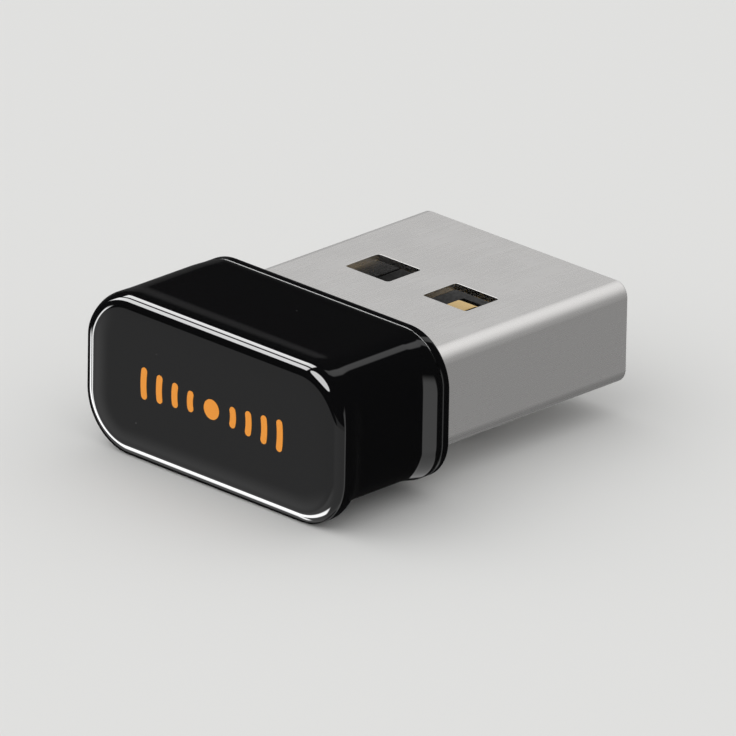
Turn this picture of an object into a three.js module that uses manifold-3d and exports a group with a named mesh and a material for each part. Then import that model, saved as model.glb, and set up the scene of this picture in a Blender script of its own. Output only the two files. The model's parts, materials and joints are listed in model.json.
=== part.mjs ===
// Nano USB wifi adapter: a glossy cap with an end plate that stops at the port, and a
// type A plug that holds the contacts and most of the circuit board.
// Millimetres. The plug goes in along +Y, +Z is up, and the origin is the centre of the
// cap's flat front face, on the axis of the plug.
import * as THREE from "three";
import { mergeVertices } from "three/addons/utils/BufferGeometryUtils.js";
import Module from "manifold-3d";

const wasm = await Module();
wasm.setup();

// Housing
const FACE_WIDTH = 14.9; // over the edge of the front face
const FACE_HEIGHT = 7.1;
const FACE_CORNER = 2.45;
const TOP_EDGE = 0.6; // rounding of the face's upper edge
const SIDE_EDGE = 0.25; // rounding of its other edges
const BODY_WIDTH = 14.4; // behind the face
const BODY_HEIGHT = 6.46;
const BODY_RISE = 0.25; // the face reaches lower than the body behind it
const BODY_CORNER = 2.0;
const BODY_START = 1.6; // where the edge of the face has eased into the body
const LIP_WIDTH = 14.7; // over the two grip lips
const LIP_HEIGHT = 6.56;
const LIP_CORNER = 2.3; // the lips fade round the upper edges
const LIP_LOWER_CORNER = 2.0; // and run on round the lower ones
const BODY_DEPTH = 6.5; // front face to the shoulder
const CAVITY = [13.0, 5.2, 1.4]; // width, height and corner radius
const WALL = 0.7; // behind the face
const PLATE_THICKNESS = 0.45;
const PLATE_EDGE = 0.12; // rounding of the plate's rear edge
const SPIGOT_DEPTH = 0.6; // the part of the plate that enters the cap
const SEAM_BREAK = 0.05; // edge break on both sides of the seam
const LIP_START = 5.0; // where the sides begin to flare
const LIP_END = 5.8;
const FIT = 0.05; // assembly clearance between mouldings

// Plug, a standard USB type A
const PLUG_WIDTH = 12.0;
const PLUG_HEIGHT = 4.5;
const PLUG_LENGTH = 12.0;
const STEEL = 0.3;
const SHELL_RADIUS = 0.65;
const SHELL_LEAD_IN = 0.1;
const TAB_REACH = 0.4;
const TAB_HEIGHT = 2.2;
const WINDOW = { width: 2.5, length: 2.0, centre: 2.25, fromTip: 6.16 };
const SEAM_GAP = 0.06;
const MOUTH_DEPTH = 9.0; // room for the receptacle's tongue

// Contacts, pitch as the standard gives it
const CONTACT_THICKNESS = 0.2;
const CONTACT_WIDTH = 1.0;
const POWER_X = 3.5;
const DATA_X = 1.0;
const POWER_FROM_TIP = 1.1;
const DATA_FROM_TIP = 2.1;
const TAIL_START = 4.45;
const CONTACT_PLANE = 0; // top of the blades, half way up the plug
const CONTACT_PROUD = 0.04;

// Carrier and board
const CARRIER_RECESS = 0.4; // carrier's nose behind the tip of the shell
const CARRIER_REAR = 5.6;
const CARRIER_FLOOR = 0.3;
const CARRIER_SIDE = 0.35;
const CARRIER_NOSE = 0.35;
const BOARD_THICKNESS = 0.5;
const BOARD_TOP = -0.35;
const HEAD_WIDTH = 12.75;
const HEAD_START = 1.3;
const HEAD_END = 5.0;
const NECK_WIDTH = 10.5;
const NECK_END = 17.65;
const BOARD_CORNER = 0.35;
const RIB_DEPTH = 0.55;
const RIB_HEIGHT = 0.72;
const RIB_END = 5.1;

const SHOULDER = BODY_DEPTH;
const SEAM = BODY_DEPTH - PLATE_THICKNESS;
const TIP = SHOULDER + PLUG_LENGTH;
const BOARD_UNDERSIDE = BOARD_TOP - BOARD_THICKNESS;
const CORNER_STEPS = 8;

const MATERIALS = {
  glossBlack: { color: 0x0b0b0c, roughness: 0.12, metalness: 0 },
  steel: { color: 0xb9bcc0, roughness: 0.3, metalness: 1 },
  insulator: { color: 0x151515, roughness: 0.55, metalness: 0 },
  gold: { color: 0xd9a441, roughness: 0.25, metalness: 1 },
  laminate: { color: 0x123c26, roughness: 0.5, metalness: 0 },
  resin: { color: 0x1c1c1e, roughness: 0.6, metalness: 0 },
  tin: { color: 0xc4c6c8, roughness: 0.35, metalness: 1 },
  ceramic: { color: 0x9a7a55, roughness: 0.5, metalness: 0 },
  whiteCeramic: { color: 0xdedbd2, roughness: 0.45, metalness: 0 },
  ferrite: { color: 0x3a3734, roughness: 0.6, metalness: 0 },
  ledLens: { color: 0xe8e6d8, roughness: 0.2, metalness: 0 },
};

function materialOf(slot) {
  return new THREE.MeshStandardMaterial({ name: slot, ...MATERIALS[slot] });
}

// ---- solids ----

// A closed geometry as a manifold-3d solid.
function solidOf(geometry) {
  const bare = geometry.clone();
  bare.deleteAttribute("normal");
  bare.deleteAttribute("uv");
  const merged = mergeVertices(bare, 1e-4);
  const mesh = new wasm.Mesh({
    numProp: 3,
    vertProperties: new Float32Array(merged.attributes.position.array),
    triVerts: new Uint32Array(merged.index.array),
  });
  return new wasm.Manifold(mesh);
}

function geometryOf(solid) {
  const mesh = solid.getMesh();
  const geometry = new THREE.BufferGeometry();
  geometry.setAttribute("position", new THREE.BufferAttribute(mesh.vertProperties, 3));
  geometry.setIndex(new THREE.BufferAttribute(mesh.triVerts, 1));
  geometry.computeVertexNormals();
  return geometry;
}

function cut(base, tools) {
  return geometryOf(tools.reduce((solid, tool) => solid.subtract(solidOf(tool)), solidOf(base)));
}

function join(pieces) {
  const [first, ...others] = pieces.map(solidOf);
  return geometryOf(others.reduce((solid, other) => solid.add(other), first));
}

// A box between two corners.
function block([x0, y0, z0], [x1, y1, z1]) {
  const box = new THREE.BoxGeometry(x1 - x0, y1 - y0, z1 - z0);
  return box.translate((x0 + x1) / 2, (y0 + y1) / 2, (z0 + z1) / 2);
}

// Points of a rounded rectangle round the Y axis, as [x, z], anticlockwise seen from -Y.
function roundedOutline(halfX, halfZ, upperRadius, lowerRadius) {
  const points = [];
  for (let corner = 0; corner < 4; corner++) {
    const radius = corner < 2 ? upperRadius : lowerRadius;
    const centreX = (corner === 0 || corner === 3 ? 1 : -1) * (halfX - radius);
    const centreZ = (corner < 2 ? 1 : -1) * (halfZ - radius);
    for (let step = 0; step <= CORNER_STEPS; step++) {
      const angle = (corner + step / CORNER_STEPS) * (Math.PI / 2);
      points.push([centreX + radius * Math.cos(angle), centreZ + radius * Math.sin(angle)]);
    }
  }
  return points;
}

// A closed solid through rounded rectangles [y, halfX, halfZ, radius, height of the centre,
// radius of the lower corners], front to rear.
function loft(sections) {
  const rings = sections.map(([y, halfX, halfZ, radius, rise = 0, lower = radius]) =>
    roundedOutline(halfX, halfZ, radius, lower).map(([x, z]) => [x, y, z + rise]),
  );
  const count = rings[0].length;
  const lastRing = (rings.length - 1) * count;
  const index = [];
  const flat = rings[0].map(([x, , z]) => new THREE.Vector2(x, z));
  for (const [a, b, c] of THREE.ShapeUtils.triangulateShape(flat, [])) {
    index.push(a, b, c);
    index.push(lastRing + a, lastRing + c, lastRing + b);
  }
  for (let i = 0; i < count; i++) {
    const next = (i + 1) % count;
    for (let ring = 0; ring < rings.length - 1; ring++) {
      const a = ring * count + i;
      const b = ring * count + next;
      index.push(a, a + count, b, b, a + count, b + count);
    }
  }
  const geometry = new THREE.BufferGeometry();
  geometry.setAttribute("position", new THREE.Float32BufferAttribute(rings.flat(2), 3));
  geometry.setIndex(index);
  return geometry;
}

// An outline in the (y, z) plane, extruded to a width centred on x = 0.
function profileAlongX(points, width) {
  const shape = new THREE.Shape(points.map(([y, z]) => new THREE.Vector2(y, z)));
  const geometry = new THREE.ExtrudeGeometry(shape, { depth: width, bevelEnabled: false });
  geometry.translate(0, 0, -width / 2);
  geometry.rotateX(Math.PI / 2);
  return geometry.rotateZ(Math.PI / 2);
}

// An outline in the (x, y) plane, extruded up from z.
function plateOf(shape, bottom, thickness) {
  const options = { depth: thickness, bevelEnabled: false, curveSegments: 4 };
  return new THREE.ExtrudeGeometry(shape, options).translate(0, 0, bottom);
}

// ---- housing ----

// How far a rounded edge stands back from its full size at a depth y behind the face.
function setBack(radius, y) {
  return y < radius ? radius - Math.sqrt(radius ** 2 - (radius - y) ** 2) : 0;
}

// The rounded front edge, from the flat face to its full size.
function edgeSections() {
  return [0, 0.015, 0.06, 0.13, SIDE_EDGE, 0.4, TOP_EDGE].map((y) => {
    const top = setBack(TOP_EDGE, y);
    const side = setBack(SIDE_EDGE, y);
    const halfZ = (FACE_HEIGHT - top - side) / 2;
    return [y, FACE_WIDTH / 2 - side, halfZ, FACE_CORNER - side, (side - top) / 2];
  });
}

// The face's edge eases into the body, which runs straight to the lips.
function bodySections() {
  const body = [BODY_WIDTH / 2, BODY_HEIGHT / 2, BODY_CORNER, BODY_RISE];
  const face = [FACE_WIDTH / 2, FACE_HEIGHT / 2, FACE_CORNER, 0];
  const sections = [];
  const steps = 4;
  for (let step = 1; step <= steps; step++) {
    const ease = (1 - Math.cos((step / steps) * Math.PI)) / 2;
    const y = THREE.MathUtils.lerp(TOP_EDGE, BODY_START, step / steps);
    sections.push([y, ...face.map((size, i) => THREE.MathUtils.lerp(size, body[i], ease))]);
  }
  sections.push([LIP_START, ...body]);
  return sections;
}

// A section over the lips, a margin smaller all round. Its top is level with the body's.
function lipSection(y, margin) {
  const halfX = LIP_WIDTH / 2 - margin;
  const halfZ = LIP_HEIGHT / 2 - margin;
  const rise = BODY_RISE - (LIP_HEIGHT - BODY_HEIGHT) / 2;
  return [y, halfX, halfZ, LIP_CORNER - margin, rise, LIP_LOWER_CORNER - margin];
}

function capOutside() {
  const lips = [
    lipSection(LIP_END, 0),
    lipSection(SEAM - SEAM_BREAK, 0),
    lipSection(SEAM, SEAM_BREAK),
  ];
  return loft([...edgeSections(), ...bodySections(), ...lips]);
}

function insideSections(from, to, clearance) {
  const [width, height, radius] = CAVITY;
  return [from, to].map((y) => [y, width / 2 - clearance, height / 2 - clearance, radius]);
}

// The four ribs on the side walls that hold the edges of the board's head.
function guideRibs() {
  const wallX = CAVITY[0] / 2;
  const slotTop = BOARD_TOP + FIT;
  const slotBottom = BOARD_UNDERSIDE - FIT;
  const ribs = [];
  for (const side of [-1, 1]) {
    const xs = [side * (wallX - RIB_DEPTH), side * (wallX + WALL / 2)].sort((a, b) => a - b);
    ribs.push(block([xs[0], WALL / 2, slotTop], [xs[1], RIB_END, slotTop + RIB_HEIGHT]));
    ribs.push(block([xs[0], WALL / 2, slotBottom - RIB_HEIGHT], [xs[1], RIB_END, slotBottom]));
  }
  return ribs;
}

function capGeometry() {
  const hollow = cut(capOutside(), [loft(insideSections(WALL, SEAM + 1, 0))]);
  return join([hollow, ...guideRibs()]);
}

function endPlateGeometry() {
  const plate = loft([
    lipSection(SEAM, SEAM_BREAK),
    lipSection(SEAM + SEAM_BREAK, 0),
    lipSection(SHOULDER - PLATE_EDGE, 0),
    lipSection(SHOULDER - 0.3 * PLATE_EDGE, 0.3 * PLATE_EDGE),
    lipSection(SHOULDER, PLATE_EDGE),
  ]);
  const spigot = loft(insideSections(SEAM - SPIGOT_DEPTH, SEAM + PLATE_THICKNESS / 2, FIT));
  const opening = loft(shellSections(SEAM - SPIGOT_DEPTH - 1, SHOULDER + 1, FIT / 2));
  return cut(join([plate, spigot]), [opening]);
}

// ---- plug ----

// The plug's outside between two distances, grown by a margin (negative: shrunk).
function shellSections(from, to, margin) {
  const halfX = PLUG_WIDTH / 2 + margin;
  const halfZ = PLUG_HEIGHT / 2 + margin;
  return [from, to].map((y) => [y, halfX, halfZ, SHELL_RADIUS + margin]);
}

// The seam underneath: straight, with one dovetail that locks the two edges.
function seamCutters(rear) {
  const path = [
    [0, rear - 1],
    [0, 8.3],
    [-0.7, 8.0],
    [-0.7, 10.2],
    [0, 9.9],
    [0, TIP + 1],
  ];
  return path.slice(1).map(([x, y], i) => {
    const [fromX, fromY] = path[i];
    const length = Math.hypot(x - fromX, y - fromY);
    const cutter = new THREE.BoxGeometry(length + SEAM_GAP, SEAM_GAP, 3 * STEEL);
    cutter.rotateZ(Math.atan2(y - fromY, x - fromX));
    return cutter.translate((x + fromX) / 2, (y + fromY) / 2, STEEL / 2 - PLUG_HEIGHT / 2);
  });
}

function latchWindows() {
  const y = TIP - WINDOW.fromTip;
  const windows = [];
  for (const x of [-WINDOW.centre, WINDOW.centre]) {
    const tool = new THREE.BoxGeometry(WINDOW.width, WINDOW.length, PLUG_HEIGHT + 1);
    windows.push(tool.translate(x, y, 0));
  }
  return windows;
}

// Tabs bent out of the side walls, held between the cap's ribs and the end plate.
function lockTabs(rear) {
  return [-1, 1].map((side) => {
    const inner = side * (PLUG_WIDTH / 2 - STEEL);
    const outer = side * (PLUG_WIDTH / 2 + TAB_REACH);
    const low = [Math.min(inner, outer), rear, -TAB_HEIGHT / 2];
    return block(low, [Math.max(inner, outer), rear + STEEL, TAB_HEIGHT / 2]);
  });
}

function plugShellGeometry() {
  const rear = SEAM - SPIGOT_DEPTH - STEEL;
  const [start, end] = shellSections(rear, TIP, 0);
  const beforeTip = [TIP - SHELL_LEAD_IN, ...end.slice(1)];
  const tip = shellSections(rear, TIP, -SHELL_LEAD_IN)[1];
  const outside = join([loft([start, beforeTip, tip]), ...lockTabs(rear)]);
  const inside = loft(shellSections(rear - 1, TIP + 1, -STEEL));
  return cut(outside, [inside, ...latchWindows(), ...seamCutters(rear)]);
}

// One contact: solder tail on the board, a small step up, and a long flat blade.
function contactGeometry(fromTip) {
  const nose = TIP - fromTip;
  const top = CONTACT_PLANE;
  const under = top - CONTACT_THICKNESS;
  const stepStart = CARRIER_REAR - 0.4;
  const stepEnd = CARRIER_REAR - 0.1;
  const profile = [
    [TAIL_START, BOARD_TOP],
    [stepStart, BOARD_TOP],
    [stepEnd, under],
    [nose, under],
    [nose, top - 0.6 * CONTACT_THICKNESS],
    [nose - 0.3, top],
    [stepEnd, top],
    [stepStart, BOARD_TOP + CONTACT_THICKNESS],
    [TAIL_START, BOARD_TOP + CONTACT_THICKNESS],
  ];
  return profileAlongX(profile, CONTACT_WIDTH);
}

function contactSlot(x, fromTip) {
  const half = CONTACT_WIDTH / 2 + FIT / 2;
  const low = [x - half, CARRIER_REAR - 1, CONTACT_PLANE - CONTACT_THICKNESS];
  return block(low, [x + half, TIP - fromTip + FIT, CONTACT_PLANE + FIT / 2]);
}

// The sleeve that fills the lower half of the plug, with a full-height block behind the mouth.
function carrierGeometry() {
  const halfX = PLUG_WIDTH / 2 - STEEL - FIT;
  const halfZ = PLUG_HEIGHT / 2 - STEEL - FIT / 2;
  const nose = TIP - CARRIER_RECESS;
  const deck = CONTACT_PLANE - CONTACT_PROUD;
  const mouthFloor = TIP - MOUTH_DEPTH;
  const lead = 0.2;
  const profile = [
    [CARRIER_REAR, -halfZ],
    [nose - lead, -halfZ],
    [nose, -halfZ + lead],
    [nose, deck - lead],
    [nose - lead, deck],
    [mouthFloor, deck],
    [mouthFloor, halfZ],
    [CARRIER_REAR, halfZ],
  ];
  const pocketX = halfX - CARRIER_SIDE;
  const pocketFloor = -halfZ + CARRIER_FLOOR;
  const boardEnd = nose - CARRIER_NOSE;
  const pocket = block([-pocketX, CARRIER_REAR - 1, pocketFloor], [pocketX, boardEnd, BOARD_TOP]);
  const slots = [
    contactSlot(-POWER_X, POWER_FROM_TIP),
    contactSlot(-DATA_X, DATA_FROM_TIP),
    contactSlot(DATA_X, DATA_FROM_TIP),
    contactSlot(POWER_X, POWER_FROM_TIP),
  ];
  const rounding = loft(shellSections(CARRIER_REAR - 1, TIP, -STEEL - FIT / 2));
  const body = solidOf(profileAlongX(profile, 2 * halfX)).intersect(solidOf(rounding));
  return cut(geometryOf(body), [pocket, ...slots]);
}

// ---- electronics ----

function boardGeometry() {
  const head = HEAD_WIDTH / 2;
  const neck = NECK_WIDTH / 2;
  const r = BOARD_CORNER;
  const shape = new THREE.Shape();
  shape.moveTo(-head + r, HEAD_START);
  shape.lineTo(head - r, HEAD_START);
  shape.absarc(head - r, HEAD_START + r, r, -Math.PI / 2, 0);
  shape.lineTo(head, HEAD_END);
  shape.lineTo(neck + r, HEAD_END);
  shape.absarc(neck + r, HEAD_END + r, r, -Math.PI / 2, -Math.PI, true);
  shape.lineTo(neck, NECK_END - r);
  shape.absarc(neck - r, NECK_END - r, r, 0, Math.PI / 2);
  shape.lineTo(-neck + r, NECK_END);
  shape.absarc(-neck + r, NECK_END - r, r, Math.PI / 2, Math.PI);
  shape.lineTo(-neck, HEAD_END + r);
  shape.absarc(-neck - r, HEAD_END + r, r, 0, -Math.PI / 2, true);
  shape.lineTo(-head, HEAD_END);
  shape.lineTo(-head, HEAD_START + r);
  shape.absarc(-head + r, HEAD_START + r, r, Math.PI, 1.5 * Math.PI);
  return plateOf(shape, -BOARD_THICKNESS, BOARD_THICKNESS);
}

// A block with broken top edges, standing on z = 0.
function mouldedBlock(width, length, height, edge) {
  const shape = new THREE.Shape();
  const halfX = width / 2 - edge;
  const halfY = length / 2 - edge;
  shape.moveTo(-halfX, -halfY);
  shape.lineTo(halfX, -halfY);
  shape.lineTo(halfX, halfY);
  shape.lineTo(-halfX, halfY);
  const bevel = { bevelThickness: edge, bevelSize: edge, bevelSegments: 1 };
  const options = { depth: height - 2 * edge, bevelEnabled: true, ...bevel };
  const rounded = new THREE.ExtrudeGeometry(shape, options).translate(0, 0, edge);
  return rounded;
}

// A ceramic chip with two raised end terminations, along x.
function chipPassive(width, length, height) {
  const end = 0.25 * width;
  const step = 0.03;
  const low = [-width / 2 + end / 2, -length / 2 + step, step];
  const body = block(low, [width / 2 - end / 2, length / 2 - step, height - step]);
  const ends = [-1, 1].map((side) => {
    const xs = [side * (width / 2 - end), (side * width) / 2].sort((a, b) => a - b);
    return block([xs[0], -length / 2, 0], [xs[1], length / 2, height]);
  });
  return join([body, ...ends]);
}

// A leadless package: a thin metal base with pads that show at its four sides.
function leadlessChip(size, height, pads) {
  const pad = 0.26;
  const body = mouldedBlock(size - 0.1, size - 0.1, height - 0.1, 0.06).translate(0, 0, 0.1);
  const base = block([-size / 2 + 0.35, -size / 2 + 0.35, 0], [size / 2 - 0.35, size / 2 - 0.35, 0.2]);
  const pieces = [body, base];
  for (let side = 0; side < 4; side++) {
    for (let i = 0; i < pads; i++) {
      const along = ((i + 0.5) / pads - 0.5) * (size - 0.8);
      const lead = block([along - pad / 2, size / 2 - 0.4, 0], [along + pad / 2, size / 2, 0.2]);
      pieces.push(lead.rotateZ((side * Math.PI) / 2));
    }
  }
  return join(pieces);
}

// A three-lead regulator: moulded body on bent leads, two on one side and one on the other.
function regulatorGeometry() {
  const body = mouldedBlock(2.9, 1.3, 1.0, 0.1).translate(0, 0, 0.1);
  const pieces = [body];
  for (const [x, side] of [
    [-0.95, -1],
    [0.95, -1],
    [0, 1],
  ]) {
    const near = 0.5 * side;
    const bend = 0.9 * side;
    const toe = 1.15 * side;
    const knee = [Math.min(near, bend), Math.max(near, bend)];
    const foot = [Math.min(near, toe), Math.max(near, toe)];
    pieces.push(block([x - 0.2, knee[0], 0], [x + 0.2, knee[1], 0.6]));
    pieces.push(block([x - 0.2, foot[0], 0], [x + 0.2, foot[1], 0.13]));
  }
  return join(pieces);
}

// A metal-lidded crystal: ceramic base with a slightly smaller lid.
function crystalGeometry(width, length, height) {
  const base = block([-width / 2, -length / 2, 0], [width / 2, length / 2, 0.4 * height]);
  const lid = mouldedBlock(width - 0.3, length - 0.3, 0.7 * height, 0.08);
  return join([base, lid.translate(0, 0, 0.3 * height)]);
}

function ledGeometry() {
  const base = block([-0.8, -0.4, 0], [0.8, 0.4, 0.2]);
  const lens = mouldedBlock(1.1, 0.78, 0.4, 0.08).translate(0, 0, 0.15);
  return join([base, lens]);
}

// ---- assembly ----

function mesh(name, geometry, slot) {
  const made = new THREE.Mesh(geometry, materialOf(slot));
  made.name = name;
  return made;
}

function housing() {
  const group = new THREE.Group();
  group.add(mesh("cap", capGeometry(), "glossBlack"));
  group.add(mesh("end_plate", endPlateGeometry(), "glossBlack"));
  return group;
}

function plug() {
  const group = new THREE.Group();
  group.add(mesh("plug_shell", plugShellGeometry(), "steel"));
  group.add(mesh("contact_carrier", carrierGeometry(), "insulator"));
  for (const [name, x, fromTip] of [
    ["contact_vbus", -POWER_X, POWER_FROM_TIP],
    ["contact_data_minus", -DATA_X, DATA_FROM_TIP],
    ["contact_data_plus", DATA_X, DATA_FROM_TIP],
    ["contact_ground", POWER_X, POWER_FROM_TIP],
  ]) {
    const contact = mesh(name, contactGeometry(fromTip), "gold");
    contact.position.x = x;
    group.add(contact);
  }
  return group;
}

// Puts parts [name, geometry, slot, x, y, quarterTurns] on one face of the board.
function populate(parts, facingDown) {
  const face = new THREE.Group();
  face.position.z = facingDown ? -BOARD_THICKNESS : 0;
  face.rotation.y = facingDown ? Math.PI : 0;
  for (const [name, geometry, slot, x, y, quarterTurns = 0] of parts) {
    const piece = mesh(name, geometry, slot);
    piece.position.set(facingDown ? -x : x, y, 0);
    piece.rotation.z = (quarterTurns * Math.PI) / 2;
    face.add(piece);
  }
  return face;
}

function electronics() {
  const group = new THREE.Group();
  group.position.z = BOARD_TOP;
  group.add(mesh("circuit_board", boardGeometry(), "laminate"));
  const small = () => chipPassive(1.0, 0.5, 0.5);
  const inHead = [
    ["chip_antenna", chipPassive(8.6, 2.0, 1.0), "whiteCeramic", -1.0, 2.6],
    ["antenna_capacitor", small(), "ceramic", 4.6, 2.0, 1],
    ["antenna_inductor", small(), "whiteCeramic", 4.6, 3.4, 1],
  ];
  const underneath = [
    ["regulator", regulatorGeometry(), "resin", -3.6, 3.0],
    ["input_capacitor", chipPassive(2.0, 1.25, 1.25), "ceramic", 0.2, 2.8],
    ["rf_filter", chipPassive(2.0, 1.25, 0.7), "whiteCeramic", 4.2, 3.8],
    ["status_led", ledGeometry(), "ledLens", 3.0, 2.0],
    ["led_resistor", small(), "resin", 5.2, 2.0],
    ["wifi_chip", leadlessChip(7.0, 0.72, 12), "resin", -1.3, 11.6],
    ["crystal", crystalGeometry(2.5, 3.2, 0.7), "tin", 3.75, 13.6],
    ["crystal_capacitor_1", small(), "ceramic", 3.1, 11.2, 1],
    ["crystal_capacitor_2", small(), "ceramic", 4.4, 11.2, 1],
    ["power_inductor", chipPassive(2.0, 1.25, 0.7), "ferrite", 3.75, 9.5],
    ["bulk_capacitor", chipPassive(1.6, 0.8, 0.7), "ceramic", 3.75, 7.9],
    ["ferrite_bead", chipPassive(1.6, 0.8, 0.7), "ferrite", -3.5, 6.8],
    ["bias_resistor", small(), "resin", -1.2, 7.0],
    ["decoupling_capacitor_1", small(), "ceramic", -3.8, 16.4],
    ["decoupling_capacitor_2", small(), "ceramic", -1.6, 16.4],
    ["decoupling_capacitor_3", small(), "ceramic", 0.6, 16.4],
  ];
  group.add(populate(inHead, false));
  group.add(populate(underneath, true));
  return group;
}

const adapter = new THREE.Group();
adapter.add(housing(), plug(), electronics());

export default adapter;
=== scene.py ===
import json
import math

import bmesh
import bpy
from mathutils import Matrix, Vector

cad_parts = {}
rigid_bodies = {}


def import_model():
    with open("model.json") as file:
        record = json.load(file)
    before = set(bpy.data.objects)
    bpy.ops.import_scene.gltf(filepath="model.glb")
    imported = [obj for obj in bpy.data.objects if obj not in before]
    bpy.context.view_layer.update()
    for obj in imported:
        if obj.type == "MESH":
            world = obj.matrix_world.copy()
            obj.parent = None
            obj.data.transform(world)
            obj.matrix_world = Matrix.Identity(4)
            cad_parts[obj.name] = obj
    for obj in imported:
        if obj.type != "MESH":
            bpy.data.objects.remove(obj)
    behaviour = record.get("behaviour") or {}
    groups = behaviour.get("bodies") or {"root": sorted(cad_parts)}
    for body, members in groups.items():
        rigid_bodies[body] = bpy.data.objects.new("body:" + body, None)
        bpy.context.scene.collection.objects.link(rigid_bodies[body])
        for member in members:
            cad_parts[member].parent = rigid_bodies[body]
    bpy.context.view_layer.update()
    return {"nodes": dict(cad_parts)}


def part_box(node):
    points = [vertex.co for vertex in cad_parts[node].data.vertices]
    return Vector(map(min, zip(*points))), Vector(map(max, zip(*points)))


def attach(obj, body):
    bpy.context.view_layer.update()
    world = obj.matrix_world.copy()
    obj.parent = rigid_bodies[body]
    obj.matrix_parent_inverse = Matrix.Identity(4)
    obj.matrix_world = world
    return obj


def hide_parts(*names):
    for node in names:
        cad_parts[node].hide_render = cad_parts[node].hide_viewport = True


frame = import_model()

MM = 0.001


def corners(node):
    """Lowest and highest corner of a CAD piece, in millimetres."""
    return [[round(place / MM, 3) for place in corner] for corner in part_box(node)]


# ---- sizes: the outer ones of the CAD pieces, and the others as in the CAD part ----

CAP_HIGH = corners("cap")[1]
PLATE_LOW, PLATE_HIGH = corners("end_plate")
SHELL_LOW, SHELL_HIGH = corners("plug_shell")

FACE = (CAP_HIGH[0], CAP_HIGH[2])  # half width and half height over the front edge
FACE_CORNER = 2.45
CROWN_INSET = 1.6  # from here outwards the face curves back a little
CROWN_TILT = math.radians(2.5)
FLAT_BORDER = 0.1  # a flat strip inside that keeps the middle of the face flat
EDGE_INSET = 0.58  # how far the rounded front edge reaches into the face
EDGE_DEPTH = (0.25, 0.6)  # and towards the rear: at the sides and below, and on top
EDGE_TURN = (0.08, 0.88)  # upward share of the outward direction, between sides and top
EDGE_END = 0.66
BODY = (7.2, 3.23)  # behind the face
BODY_RISE = 0.25  # the face reaches lower than the body behind it
BODY_CORNER = 2.0
BODY_START = 1.6
LIPS = (PLATE_HIGH[0], (PLATE_HIGH[2] - PLATE_LOW[2]) / 2)  # over the grip lips
LIP_RISE = (PLATE_HIGH[2] + PLATE_LOW[2]) / 2  # their top is level with the body's
LIP_CORNER = 2.3
LIP_LOWER_CORNER = 2.0
LIP_START = 4.95
LIP_END = 5.8
SEAM = CAP_HIGH[1]
SHOULDER = PLATE_HIGH[1]
TIP = SHELL_HIGH[1]
CAVITY = (6.5, 2.6)
CAVITY_CORNER = 1.4
WALL = 0.7
CAVITY_SUPPORT = (0.02, 0.1)  # extra sections next to its ends keep the shading straight
RIB_DEPTH = 0.55
RIB_END = 5.1
RIB_ROOT = 0.3  # the part of a rib inside the wall
RIB_HEIGHTS = ((-0.3, 0.42), (-1.62, -0.9))  # above and below the edge of the board
PLATE_EDGE = 0.12
SEAM_BREAK = 0.05
SPIGOT = PLATE_LOW[1]
SPIGOT_FIT = 0.05
PLUG_FIT = 0.025
MOULD_BREAK = 0.04  # broken edges of the spigot and of the plate's opening
PLUG = (6.0, SHELL_HIGH[2])
PLUG_CORNER = 0.65
STEEL = 0.3
STEEL_EDGE = 0.035
MOUTH_EDGE = 0.1  # the folded steel is rounded over at the mouth
SHELL_REAR = SHELL_LOW[1]
WINDOW = (1.25, 1.0)
WINDOW_CORNER = 0.14
WINDOW_CENTRE = (2.25, TIP - 6.16)
LOCK_TAB = (SHELL_HIGH[0], 1.1)  # reach from the middle of the plug, and half height
FOLD_GAP = 0.05  # where the folded steel meets underneath
DOVETAIL = ((0, 8.3), (-0.7, 8.0), (-0.7, 10.2), (0, 9.9))
PAST = 1.0  # how far cutters reach past what they cut

# Orange print: a dot and, on each side, four arcs round it
INK = (-0.014, 0.004)  # from just in front of the face to just inside it
STROKE = 0.34
DOT_RADIUS = 0.44
WAVE_RADIUS = (1.25, 0.9)  # of the first arc, and the step to the next
WAVE_HEIGHT = (0.3, 0.08)  # half the height of the first arc, and the step

CORNER_STEPS = 24
EDGE_STEPS = 24
CROWN_STEPS = 6
PLUG_STEPS = 14
MOUTH_STEPS = 6
DOT_STEPS = 48
WAVE_STEPS = 24
WAVE_END_STEPS = 10
SHARP_ANGLE = math.radians(32)  # edges from here on stay sharp in smooth shading
BEVEL_ANGLE = math.radians(35)  # and from here on they are rounded by a bevel
FLAT_ANGLE = math.radians(1)  # faces that turn less are one flat face
SMALL_EDGE = 0.03  # rounding of the edges of the small parts
WELD_DISTANCE = 0.0001


# ---- meshes ----


def link(name, mesh, finish, replaced=()):
    """Shows a mesh given in millimetres as a piece of the object."""
    mesh.transform(Matrix.Scale(MM, 4))
    mesh.materials.clear()
    mesh.materials.append(finish)
    piece = bpy.data.objects.new(name, mesh)
    bpy.context.scene.collection.objects.link(piece)
    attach(piece, "root")
    if replaced:
        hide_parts(*replaced)
    return piece


def rounded(half_x, half_z, radius, steps=CORNER_STEPS):
    """Arc centre and outward normal, as (x, z), at each point of a rounded rectangle.

    The points run anticlockwise seen from -Y.
    """
    for corner in range(4):
        centre_x = (half_x - radius) * (1 if corner in (0, 3) else -1)
        centre_z = (half_z - radius) * (1 if corner < 2 else -1)
        for step in range(steps + 1):
            angle = (corner + step / steps) * math.pi / 2
            yield Vector((centre_x, centre_z)), Vector((math.cos(angle), math.sin(angle)))


def ring(y, half_x, half_z, radius, rise=0.0, lower=None, steps=CORNER_STEPS):
    """Points of a rounded rectangle across the Y axis. lower is the radius of its lower corners."""

    def outline(size):
        return [centre + normal * size for centre, normal in rounded(half_x, half_z, size, steps)]

    half = 2 * (steps + 1)
    points = outline(radius)[:half] + outline(lower or radius)[half:]
    return [(x, y, z + rise) for x, z in points]


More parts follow.
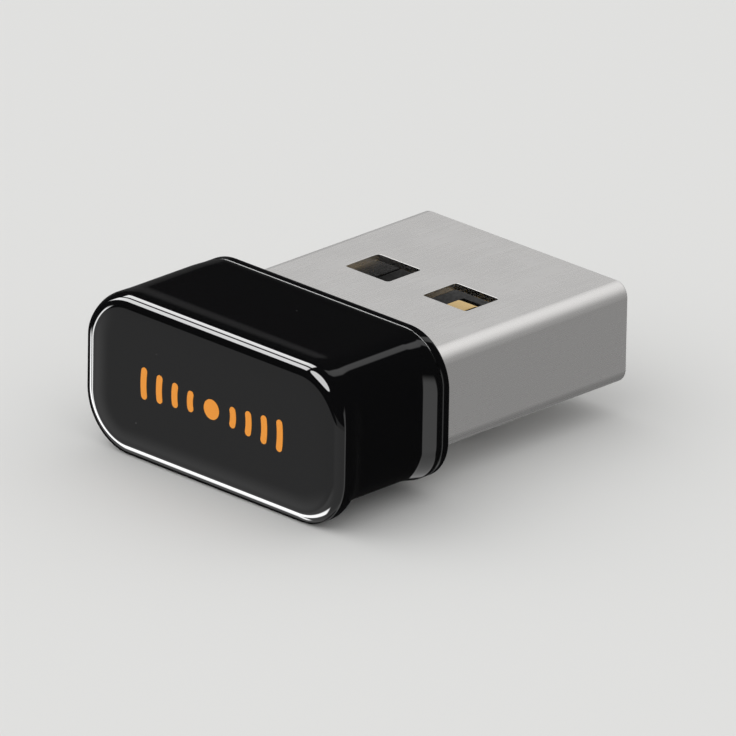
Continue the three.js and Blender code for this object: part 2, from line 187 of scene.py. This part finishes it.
def loft(rings, closed=False):
    """A closed mesh through rings of points. closed joins the last ring to the first."""
    mesh = bmesh.new()
    loops = [[mesh.verts.new(point) for point in points] for points in rings]
    pairs = list(zip(loops, loops[1:]))
    if closed:
        pairs.append((loops[-1], loops[0]))
    else:
        mesh.faces.new(loops[0])
        mesh.faces.new(list(reversed(loops[-1])))
    for near, far in pairs:
        for i in range(len(near)):
            j = (i + 1) % len(near)
            mesh.faces.new((near[i], far[i], far[j], near[j]))
    bmesh.ops.recalc_face_normals(mesh, faces=mesh.faces)
    return mesh


def box(low, high):
    """A box between two corners."""
    mesh = bmesh.new()
    size = [b - a for a, b in zip(low, high)]
    middle = [(a + b) / 2 for a, b in zip(low, high)]
    place = Matrix.Translation(middle) @ Matrix.Diagonal((*size, 1))
    bmesh.ops.create_cube(mesh, size=1, matrix=place)
    return mesh


def arc(centre, radius, start, end, steps):
    """Points of an arc between two angles, with both ends."""
    angles = [start + (end - start) * step / steps for step in range(steps + 1)]
    return [(centre[0] + radius * math.cos(a), centre[1] + radius * math.sin(a)) for a in angles]


def prism(outline, low, high, axis, into=None):
    """An outline extruded along Y or Z between two distances, into a mesh or as a new one."""

    def place(point, distance):
        x, other = point
        return (x, distance, other) if axis == "Y" else (x, other, distance)

    mesh = into or bmesh.new()
    near = [mesh.verts.new(place(point, low)) for point in outline]
    far = [mesh.verts.new(place(point, high)) for point in outline]
    made = [mesh.faces.new(near), mesh.faces.new(list(reversed(far)))]
    for i in range(len(outline)):
        j = (i + 1) % len(outline)
        made.append(mesh.faces.new((near[j], near[i], far[i], far[j])))
    bmesh.ops.recalc_face_normals(mesh, faces=made)
    return mesh


def slit(path, width):
    """Outline of a narrow slit along a bent path, with mitred corners."""
    sides = ([], [])
    points = [Vector(p) for p in path]
    ways = [(b - a).normalized() for a, b in zip(points, points[1:])]
    for i, point in enumerate(points):
        before, after = ways[max(i - 1, 0)], ways[min(i, len(ways) - 1)]
        normal = Vector((-(before + after).y, (before + after).x)).normalized()
        reach = width / 2 / normal.dot(Vector((-after.y, after.x)))
        sides[0].append(tuple(point + normal * reach))
        sides[1].append(tuple(point - normal * reach))
    return sides[0] + sides[1][::-1]


def data_of(mesh, name="part"):
    """A bmesh as mesh data, with smooth faces."""
    for face in mesh.faces:
        face.smooth = True
    data = bpy.data.meshes.new(name)
    mesh.to_mesh(data)
    mesh.free()
    return data


def round_edges(piece, width, segments=2):
    """Rounds the sharp edges of a piece and keeps its flat faces flat."""
    bevel = piece.modifiers.new("edges", "BEVEL")
    bevel.width = width
    bevel.segments = segments
    bevel.limit_method = "ANGLE"
    bevel.angle_limit = BEVEL_ANGLE
    weighted = piece.modifiers.new("normals", "WEIGHTED_NORMAL")
    weighted.weight = 100


def carved(base, cutters=(), added=(), bevel=0.0):
    """base with added solids joined and cutters taken away, and its sharp edges rounded."""
    objects = bpy.context.scene.collection.objects
    work = bpy.data.objects.new("work", data_of(base))
    objects.link(work)
    helpers = []
    jobs = [("UNION", solid) for solid in added] + [("DIFFERENCE", solid) for solid in cutters]
    for operation, solid in jobs:
        helper = bpy.data.objects.new("helper", data_of(solid))
        objects.link(helper)
        helpers.append(helper)
        modifier = work.modifiers.new(operation, "BOOLEAN")
        modifier.operation = operation
        modifier.object = helper
        modifier.solver = "EXACT"
    if bevel:
        round_edges(work, bevel, segments=3)
    evaluated = work.evaluated_get(bpy.context.evaluated_depsgraph_get())
    data = bpy.data.meshes.new_from_object(evaluated)
    for helper in (*helpers, work):
        bpy.data.objects.remove(helper)
    return data


def smooth(data):
    """Smooth shading between edges that stay sharp."""
    data.shade_smooth()
    data.set_sharp_from_angle(angle=SHARP_ANGLE)
    return data


# ---- node trees ----


class Tree:
    """Builds a node tree, one node or one sum at a time."""

    def __init__(self, owner):
        owner.use_nodes = True
        self.nodes = owner.node_tree.nodes
        self.links = owner.node_tree.links
        self.nodes.clear()

    def add(self, kind, inputs=None, **settings):
        made = self.nodes.new("ShaderNode" + kind)
        for name, value in settings.items():
            setattr(made, name, value)
        for key, value in (inputs or {}).items():
            if isinstance(value, bpy.types.NodeSocket):
                self.links.new(value, made.inputs[key])
            else:
                made.inputs[key].default_value = value
        return made

    def sum(self, operation, *values):
        return self.add("Math", dict(enumerate(values)), operation=operation).outputs[0]

    def mix(self, factor, first, second):
        """A colour between two colours."""
        inputs = {0: factor, 6: rgba(first), 7: rgba(second)}
        return self.add("Mix", inputs, data_type="RGBA").outputs[2]

    def blend(self, factor, first, second):
        """A number between two numbers."""
        return self.add("Mix", {0: factor, 2: first, 3: second}).outputs[0]

    def ramp(self, value, low, high, first=0.0, second=1.0):
        """From first to second, eased, while value goes from low to high."""
        inputs = {0: value, 1: low, 2: high, 3: first, 4: second}
        return self.add("MapRange", inputs, interpolation_type="SMOOTHSTEP").outputs[0]

    def band(self, value, low, high, soft):
        """1 between low and high, 0 outside, with soft borders."""
        rise = self.ramp(value, low - soft, low + soft)
        fall = self.ramp(value, high - soft, high + soft, 1.0, 0.0)
        return self.sum("MULTIPLY", rise, fall)


def rgba(colour):
    """Four channels from a grey level or from three channels."""
    return (*colour, 1) if isinstance(colour, tuple) else (colour, colour, colour, 1)


def principled(name, colour, roughness, metallic=0.0, build=None, **inputs):
    """A finish. build(tree) may return sockets that replace some of the values."""
    finish = bpy.data.materials.new(name)
    tree = Tree(finish)
    values = {"Base Color": rgba(colour), "Roughness": roughness, "Metallic": metallic, **inputs}
    values.update(build(tree) if build else {})
    shader = tree.add("BsdfPrincipled", values)
    tree.add("OutputMaterial", {"Surface": shader.outputs[0]})
    return finish


def millimetres(tree, stretch=(1, 1, 1)):
    """Position on the object, in millimetres, times a stretch."""
    where = tree.add("TexCoord").outputs["Object"]
    scaled = {0: where, 1: tuple(s / MM for s in stretch)}
    return tree.add("VectorMath", scaled, operation="MULTIPLY").outputs[0]


def grainy(tree, grain, strength):
    """The normal over a grain about a hundredth of a millimetre deep."""
    bump = tree.add("Bump", {"Height": grain, "Strength": strength, "Distance": 0.01 * MM})
    return bump.outputs[0]


# ---- finishes ----


def gloss_black(tree):
    """Clear gloss with a few specks of dust, each at the centre of a cell."""
    where = millimetres(tree)
    cells = tree.add("TexVoronoi", {"Vector": where, "Scale": 1.7, "Randomness": 1.0}).outputs
    chosen = tree.sum("GREATER_THAN", cells["Color"], 0.80)
    near = tree.sum("LESS_THAN", cells["Distance"], 0.045)
    dust = tree.sum("MULTIPLY", chosen, near)
    return {
        "Base Color": tree.mix(dust, (0.0032, 0.0032, 0.0035), 0.09),
        "Roughness": tree.blend(dust, 0.0, 0.8),
    }


def brushed(tree):
    """Fine lines along Y and a faint cloudiness."""
    along = millimetres(tree, (14, 0.6, 14))
    grain = tree.add("TexNoise", {"Vector": along, "Scale": 1.0, "Detail": 3.0}).outputs[0]
    cloud = tree.add("TexNoise", {"Vector": millimetres(tree), "Scale": 0.5}).outputs[0]
    lines = tree.ramp(grain, 0.3, 0.7, 0.22, 0.28)
    haze = tree.ramp(cloud, 0.3, 0.7, 0.0, 0.05)
    return {"Roughness": tree.sum("ADD", lines, haze), "Normal": grainy(tree, grain, 0.035)}


def moulded(tree):
    noise = {"Vector": millimetres(tree), "Scale": 9.0, "Detail": 4.0}
    grain = tree.add("TexNoise", noise).outputs[0]
    return {"Normal": grainy(tree, grain, 0.15), "Roughness": tree.ramp(grain, 0.3, 0.7, 0.45, 0.6)}


def mask_on_copper(tree):
    """Green mask, darker between tracks."""
    bricks = {"Vector": millimetres(tree), "Scale": 1.6, "Mortar Size": 0.09, "Mortar Smooth": 0.2}
    tracks = tree.add("TexBrick", bricks).outputs["Fac"]
    return {"Base Color": tree.mix(tracks, (0.012, 0.075, 0.032), (0.02, 0.14, 0.055))}


def tinned_ends(body, axis, share):
    """Body colour in the middle, tin at both ends along an axis of the part's own box."""

    def build(tree):
        place = tree.add("TexCoord").outputs["Generated"]
        split = tree.add("SeparateXYZ", {0: place}).outputs[axis]
        middle = tree.band(split, share, 1 - share, 0.015)
        return {
            "Base Color": tree.mix(middle, TIN, body),
            "Metallic": tree.sum("SUBTRACT", 1.0, middle),
            "Roughness": tree.blend(middle, 0.3, 0.5),
        }

    return build


TIN = (0.62, 0.62, 0.63)
CERAMIC = (0.42, 0.27, 0.16)
WHITE_CERAMIC = (0.78, 0.76, 0.70)
FERRITE = (0.05, 0.047, 0.045)
RESISTOR = (0.02, 0.02, 0.022)

BLACK = principled("gloss_black", 0.004, 0.0, build=gloss_black, IOR=1.5)
NICKEL = principled("plug_steel", (0.63, 0.62, 0.61), 0.25, 1.0, build=brushed)
INSULATOR = principled("insulator", 0.015, 0.5, build=moulded)
GOLD = principled("gold_plate", (0.95, 0.66, 0.27), 0.24, 1.0)
LAMINATE = principled("laminate", (0.012, 0.1, 0.04), 0.35, build=mask_on_copper)
RESIN = principled("moulded_resin", 0.02, 0.5, build=moulded)
CAN = principled("can_metal", (0.7, 0.7, 0.71), 0.28, 1.0, build=brushed)
LENS = principled("led_lens", (0.85, 0.84, 0.74), 0.18)
ORANGE = principled("orange_print", (0.95, 0.34, 0.03), 0.45)


# ---- housing ----


def front_rings():
    """The face with its slight crown, and its edge, which is rounder on top than at the sides."""
    rings = []

    def ring_at(place):
        points = []
        for centre, normal in rounded(*FACE, FACE_CORNER):
            upward = (normal.y - EDGE_TURN[0]) / (EDGE_TURN[1] - EDGE_TURN[0])
            upward = min(max(upward, 0), 1)
            eased = upward * upward * (3 - 2 * upward)
            inset, y = place(EDGE_DEPTH[0] + (EDGE_DEPTH[1] - EDGE_DEPTH[0]) * eased)
            x, z = centre + normal * (FACE_CORNER - inset)
            points.append((x, y, z))
        rings.append(points)

    def crown(share):
        length = CROWN_INSET - EDGE_INSET
        y = math.tan(CROWN_TILT) * length * share * share / 2
        return lambda depth: (CROWN_INSET - length * share, y)

    def edge(angle):
        base = crown(1)(0)[1]
        inset = EDGE_INSET * (1 - math.sin(angle))
        return lambda depth: (inset, base + depth * (1 - math.cos(angle)))

    ring_at(lambda depth: (CROWN_INSET + FLAT_BORDER, 0))
    for step in range(CROWN_STEPS + 1):
        ring_at(crown(step / CROWN_STEPS))
    for step in range(1, EDGE_STEPS + 1):
        ring_at(edge(math.pi / 2 * step / EDGE_STEPS))
    return rings


def between(share, first, second):
    return [a + (b - a) * share for a, b in zip(first, second)]


def flare(share, bend):
    """From 0 to 1 along a straight slope whose ends are rounded over a share of its length."""
    if share > 0.5:
        return 1 - flare(1 - share, bend)
    return (share * share / bend / 2 if share < bend else share - bend / 2) / (1 - bend)


def body_rings():
    """The edge of the face eases into the body, which runs straight to the grip lips."""
    face = (*FACE, FACE_CORNER, 0.0, FACE_CORNER)
    body = (*BODY, BODY_CORNER, BODY_RISE, BODY_CORNER)
    lips = (*LIPS, LIP_CORNER, LIP_RISE, LIP_LOWER_CORNER)
    rings = []
    for start, end, first, second, bend in (
        (EDGE_END, BODY_START, face, body, 0.5),
        (LIP_START, LIP_END, body, lips, 0.15),
    ):
        for step in range(EDGE_STEPS + 1):
            share = step / EDGE_STEPS
            sizes = between(flare(share, bend), first, second)
            rings.append(ring(start + (end - start) * share, *sizes))
    return rings


def lip_edge(y, way, radius, steps=4):
    """A small rounded edge of the lips: way 1 runs towards a rear face, -1 from a front one."""
    rings = []
    for step in range(steps + 1):
        angle = math.pi / 2 * step / steps
        inset = radius * (1 - math.cos(angle))
        place = y - way * radius * (1 - math.sin(angle))
        corners = (LIP_CORNER - inset, LIP_RISE, LIP_LOWER_CORNER - inset)
        rings.append(ring(place, LIPS[0] - inset, LIPS[1] - inset, *corners))
    return rings if way > 0 else rings[::-1]


def inside(y, growth=0.0):
    """A section of the cap's inside, grown by a little."""
    return ring(y, CAVITY[0] + growth, CAVITY[1] + growth, CAVITY_CORNER + growth)


def build_cap():
    outside = front_rings() + body_rings() + lip_edge(SEAM, 1, SEAM_BREAK)
    depths = (SEAM, SEAM - CAVITY_SUPPORT[0], WALL + CAVITY_SUPPORT[1], WALL)
    shell = loft(outside + [inside(y) for y in depths])
    ribs = []
    for side in (-1, 1):
        near, far = sorted((side * (CAVITY[0] - RIB_DEPTH), side * (CAVITY[0] + RIB_ROOT)))
        for low, high in RIB_HEIGHTS:
            ribs.append(box((near, WALL / 2, low), (far, RIB_END, high)))
    return link("cap_shell", smooth(carved(shell, added=ribs)), BLACK, ["cap"])


def build_end_plate():
    opening = (PLUG[0] + PLUG_FIT, PLUG[1] + PLUG_FIT, PLUG_CORNER + PLUG_FIT)
    rings = lip_edge(SEAM, -1, SEAM_BREAK) + lip_edge(SHOULDER, 1, PLATE_EDGE, steps=6)
    rings += [ring(SHOULDER, *(size + MOULD_BREAK for size in opening))]
    rings += [ring(SHOULDER - MOULD_BREAK, *opening), ring(SPIGOT, *opening)]
    rings += [inside(SPIGOT, -SPIGOT_FIT - MOULD_BREAK), inside(SPIGOT + MOULD_BREAK, -SPIGOT_FIT)]
    rings += [inside(SEAM, -SPIGOT_FIT)]
    data = smooth(data_of(loft(rings, closed=True)))
    return link("end_plate_moulding", data, BLACK, ["end_plate"])


def wave(radius, half_height, side):
    """Outline (x, z) of an arc round the middle of the face, with round ends."""
    reach = math.asin(half_height / radius)
    upper_end, lower_end = arc((0, 0), radius, reach, -reach, 1)
    points = arc((0, 0), radius + STROKE / 2, -reach, reach, WAVE_STEPS)
    points += arc(upper_end, STROKE / 2, reach, reach + math.pi, WAVE_END_STEPS)[1:-1]
    points += arc((0, 0), radius - STROKE / 2, reach, -reach, WAVE_STEPS)
    points += arc(lower_end, STROKE / 2, -reach - math.pi, -reach, WAVE_END_STEPS)[1:-1]
    return [(side * x, z) for x, z in points]


def build_mark():
    """Orange ink on the face: a dot between growing waves."""
    ink = prism(arc((0, 0), DOT_RADIUS, 0, 2 * math.pi, DOT_STEPS)[:-1], *INK, "Y")
    for order in range(4):
        radius = WAVE_RADIUS[0] + WAVE_RADIUS[1] * order
        half_height = WAVE_HEIGHT[0] + WAVE_HEIGHT[1] * order
        for side in (-1, 1):
            prism(wave(radius, half_height, side), *INK, "Y", into=ink)
    bmesh.ops.recalc_face_normals(ink, faces=ink.faces)
    return link("face_mark", smooth(data_of(ink)), ORANGE)


# ---- plug ----


def plug_section(y, inset):
    corner = PLUG_CORNER - inset
    return ring(y, PLUG[0] - inset, PLUG[1] - inset, corner, steps=PLUG_STEPS)


def window_cutter(side):
    middle = Vector((side * WINDOW_CENTRE[0], WINDOW_CENTRE[1]))
    corners = rounded(*WINDOW, WINDOW_CORNER, steps=5)
    outline = [middle + centre + normal * WINDOW_CORNER for centre, normal in corners]
    return prism(outline, -PLUG[1] - PAST, PLUG[1] + PAST, "Z")


def seam_cutter():
    """The folded seam underneath, with its dovetail."""
    path = [(0, SHELL_REAR - PAST), *DOVETAIL, (0, TIP + PAST)]
    return prism(slit(path, FOLD_GAP), -PLUG[1] - PAST, -PLUG[1] / 2, "Z")


def build_plug_shell():
    rings = []
    for step in range(MOUTH_STEPS + 1):
        angle = math.pi * step / MOUTH_STEPS
        y = TIP - MOUTH_EDGE * (1 - math.sin(angle))
        rings.append(plug_section(y, STEEL / 2 * (1 - math.cos(angle))))
    rings += [plug_section(SHELL_REAR, STEEL), plug_section(SHELL_REAR, 0)]
    cutters = [window_cutter(-1), window_cutter(1), seam_cutter()]
    tabs = []
    for side in (-1, 1):
        near, far = sorted((side * (PLUG[0] - STEEL / 2), side * LOCK_TAB[0]))
        low = (near, SHELL_REAR, -LOCK_TAB[1])
        tabs.append(box(low, (far, SHELL_REAR + STEEL, LOCK_TAB[1])))
    data = carved(loft(rings, closed=True), cutters, tabs, bevel=STEEL_EDGE)
    return link("plug_shell_steel", data, NICKEL, ["plug_shell"])


# ---- pieces that keep their CAD shape ----

PLAIN = {
    "contact_carrier": INSULATOR,
    "contact_vbus": GOLD,
    "contact_data_minus": GOLD,
    "contact_data_plus": GOLD,
    "contact_ground": GOLD,
    "circuit_board": LAMINATE,
    "regulator": RESIN,
    "wifi_chip": RESIN,
    "crystal": CAN,
    "status_led": LENS,
}

# Chip components: colour of the body, axis along which the ends lie, share of each tinned end
CHIPS = {
    "chip_antenna": (WHITE_CERAMIC, 0, 0.06),
    "antenna_capacitor": (CERAMIC, 1, 0.25),
    "antenna_inductor": (WHITE_CERAMIC, 1, 0.25),
    "input_capacitor": (CERAMIC, 0, 0.22),
    "rf_filter": (WHITE_CERAMIC, 0, 0.22),
    "led_resistor": (RESISTOR, 0, 0.25),
    "crystal_capacitor_1": (CERAMIC, 1, 0.25),
    "crystal_capacitor_2": (CERAMIC, 1, 0.25),
    "power_inductor": (FERRITE, 0, 0.22),
    "bulk_capacitor": (CERAMIC, 0, 0.22),
    "ferrite_bead": (FERRITE, 0, 0.22),
    "bias_resistor": (RESISTOR, 0, 0.25),
    "decoupling_capacitor_1": (CERAMIC, 0, 0.25),
    "decoupling_capacitor_2": (CERAMIC, 0, 0.25),
    "decoupling_capacitor_3": (CERAMIC, 0, 0.25),
}


def dress(name, finish):
    """Gives a CAD piece its finish and broken edges."""
    node = frame["nodes"][name]
    node.data.materials.clear()
    node.data.materials.append(finish)
    node.modifiers.new("weld", "WELD").merge_threshold = WELD_DISTANCE * MM
    flat = node.modifiers.new("flat", "DECIMATE")
    flat.decimate_type = "DISSOLVE"
    flat.angle_limit = FLAT_ANGLE
    round_edges(node, SMALL_EDGE * MM)


def dress_nodes():
    for name, finish in PLAIN.items():
        dress(name, finish)
    finishes = {}
    for name, ends in CHIPS.items():
        if ends not in finishes:
            title = "tinned_" + str(len(finishes))
            finishes[ends] = principled(title, ends[0], 0.5, build=tinned_ends(*ends))
        dress(name, finishes[ends])


# ---- stage ----


def build_floor():
    """A pale floor that hides nothing from below and leaves the reflections alone."""
    mesh = bmesh.new()
    bmesh.ops.create_grid(mesh, x_segments=1, y_segments=1, size=3)
    floor = bpy.data.objects.new("floor", data_of(mesh, "floor"))
    floor.location.z = -(FACE[1] + 0.01) * MM
    bpy.context.scene.collection.objects.link(floor)
    finish = bpy.data.materials.new("floor")
    tree = Tree(finish)
    paper = tree.add("BsdfDiffuse", {"Color": (0.70, 0.70, 0.69, 1)}).outputs[0]
    clear = tree.add("BsdfTransparent").outputs[0]
    behind = tree.add("NewGeometry").outputs["Backfacing"]
    surface = tree.add("MixShader", {0: behind, 1: paper, 2: clear}).outputs[0]
    tree.add("OutputMaterial", {"Surface": surface})
    floor.data.materials.append(finish)
    floor.visible_glossy = False


# Panels the gloss reflects, painted over each other. Angles are in degrees. "sky" is azimuth from
# +X, then elevation. "roll" turns round the X axis: first x of the direction, then the angle above
# -Y. "spot" is a direction and an angle round it. Slant leans the sides of a panel.
DARK = 0.014
SLANT_MIDDLE = 40.0
PANELS = [
    # kind, first range, second range, softness of each, radiance, slant
    # the grey the face mirrors, lighter at its borders
    ("sky", (196, 388), (-75, -18.2), (3.0, 0.8), 0.78, 0),
    ("sky", (222.5, 345), (-24.5, -10), (2.0, 1.5), 0.40, 0),
    ("sky", (240, 345), (-60, -18), (10.0, 1.0), 0.58, 0),
    ("sky", (190, 256), (-18.2, 0), (2.0, 0.8), DARK, 0),
    # bright bands beside and below it
    ("sky", (213.2, 219.4), (-48, -9), (1.2, 4.0), 13.0, 0),
    ("roll", (-0.86, -0.30), (-49.5, -40.5), (0.04, 1.5), 18.0, 0),
    # a window, its lower and its upper pane, and a round light in front
    ("roll", (-0.95, -0.51), (35, 61), (0.015, 1.2), 14.0, 0.0038),
    ("roll", (-0.95, -0.51), (71.5, 96), (0.015, 1.2), 14.0, 0.0038),
    ("spot", (-0.1, -0.728, 0.679), 19, 1.0, 14.0, 0),
    # the grey the flare mirrors, and its lower end
    ("sky", (346, 392), (-72, 18), (4.0, 6.0), 1.1, 0),
    ("roll", (-0.35, 0.75), (233, 255), (0.1, 3.0), 0.9, 0),
    # weak light behind and above
    ("roll", (-0.11, 0.09), (112, 176), (0.03, 4.0), 0.9, 0),
    ("roll", (-0.95, -0.30), (156, 205), (0.1, 4.0), 0.07, 0),
]


def turned(tree, rise, run, least):
    """The angle of (run, rise) in degrees, from least on."""
    turn = tree.sum("DIVIDE", tree.sum("ARCTAN2", rise, run), math.pi / 180)
    return tree.sum("WRAP", turn, least + 360.0, float(least))


def patch(tree, horizontal, vertical, softness):
    """1 inside two bands at once. Each band is a value and its range."""
    first = tree.band(horizontal[0], *horizontal[1], softness[0])
    second = tree.band(vertical[0], *vertical[1], softness[1])
    return tree.sum("MULTIPLY", first, second)


def painted_panels(tree, direction, x, roll, azimuth, elevation):
    """What the gloss mirrors."""
    light = DARK
    for kind, first, second, soft, radiance, slant in PANELS:
        if kind == "spot":
            towards = {0: direction, 1: Vector(first).normalized()}
            along = tree.add("VectorMath", towards, operation="DOT_PRODUCT").outputs["Value"]
            off = tree.sum("DIVIDE", tree.sum("ARCCOSINE", along), math.pi / 180)
            mask = tree.ramp(off, second - soft, second + soft, 1.0, 0.0)
        else:
            across, along = (x, roll) if kind == "roll" else (azimuth, elevation)
            if slant:
                lean = tree.sum("MULTIPLY", tree.sum("SUBTRACT", along, SLANT_MIDDLE), slant)
                across = tree.sum("SUBTRACT", across, lean)
            mask = patch(tree, (across, first), (along, second), soft)
        light = tree.blend(mask, light, radiance)
    return light


def satin_light(tree, azimuth, elevation):
    """What the metals mirror: brighter upwards, with a glow from behind."""
    lower = tree.ramp(elevation, -50, 0, 0.24, 0.44)
    upper = tree.ramp(elevation, 0, 60, 0.0, 0.8)
    glow = patch(tree, (azimuth, (175, 270)), (elevation, (20, 75)), (30, 15))
    return tree.sum("ADD", tree.sum("ADD", lower, upper), tree.sum("MULTIPLY", glow, 1.6))


def soft_light(tree, azimuth, elevation):
    """What lights the matt surfaces: a dome with a wide light on the left."""
    dome = tree.ramp(elevation, -30, 50, 0.5, 0.95)
    side = patch(tree, (azimuth, (170, 260)), (elevation, (10, 70)), (50, 20))
    return tree.sum("ADD", dome, tree.sum("MULTIPLY", side, 0.8))


def build_world():
    world = bpy.data.worlds.new("studio")
    bpy.context.scene.world = world
    tree = Tree(world)
    direction = tree.add("TexCoord").outputs["Generated"]
    x, y, z = tree.add("SeparateXYZ", {0: direction}).outputs
    roll = turned(tree, z, tree.sum("MULTIPLY", y, -1.0), least=-100)
    azimuth = turned(tree, y, x, least=110)
    elevation = tree.sum("DIVIDE", tree.sum("ARCSINE", z), math.pi / 180)
    sharp = painted_panels(tree, direction, x, roll, azimuth, elevation)
    satin = satin_light(tree, azimuth, elevation)
    soft = soft_light(tree, azimuth, elevation)
    path = tree.add("LightPath").outputs
    glossy = tree.blend(path["Is Singular Ray"], satin, sharp)
    light = tree.blend(path["Is Glossy Ray"], soft, glossy)
    backdrop = 0.74
    shown = tree.blend(path["Is Camera Ray"], light, backdrop)
    back = tree.add("Background", {"Color": shown, "Strength": 1.0}).outputs[0]
    tree.add("OutputWorld", {"Surface": back})
    world.cycles.sampling_method = "NONE"


def build_camera():
    data = bpy.data.cameras.new("camera")
    camera = bpy.data.objects.new("camera", data)
    bpy.context.scene.collection.objects.link(camera)
    azimuth, elevation, roll = (math.radians(a) for a in (44.0, 22.0, 1.0))
    distance = 0.7
    field = 30.5 * MM
    level = math.cos(elevation)
    back = Vector((math.sin(azimuth) * level, -math.cos(azimuth) * level, math.sin(elevation)))
    target = Vector((0.2, 9.0, -0.6)) * MM
    camera.location = target + back * distance
    turn = (-back).to_track_quat("-Z", "Y").to_matrix().to_4x4()
    camera.rotation_euler = (turn @ Matrix.Rotation(roll, 4, "Z")).to_euler()
    data.sensor_width = 36
    data.lens = data.sensor_width * distance / field
    data.clip_start = 0.01
    data.clip_end = 20
    bpy.context.scene.camera = camera


build_cap()
build_end_plate()
build_mark()
build_plug_shell()
dress_nodes()
build_floor()
build_world()
build_camera()
bpy.context.scene.view_settings.view_transform = "Standard"
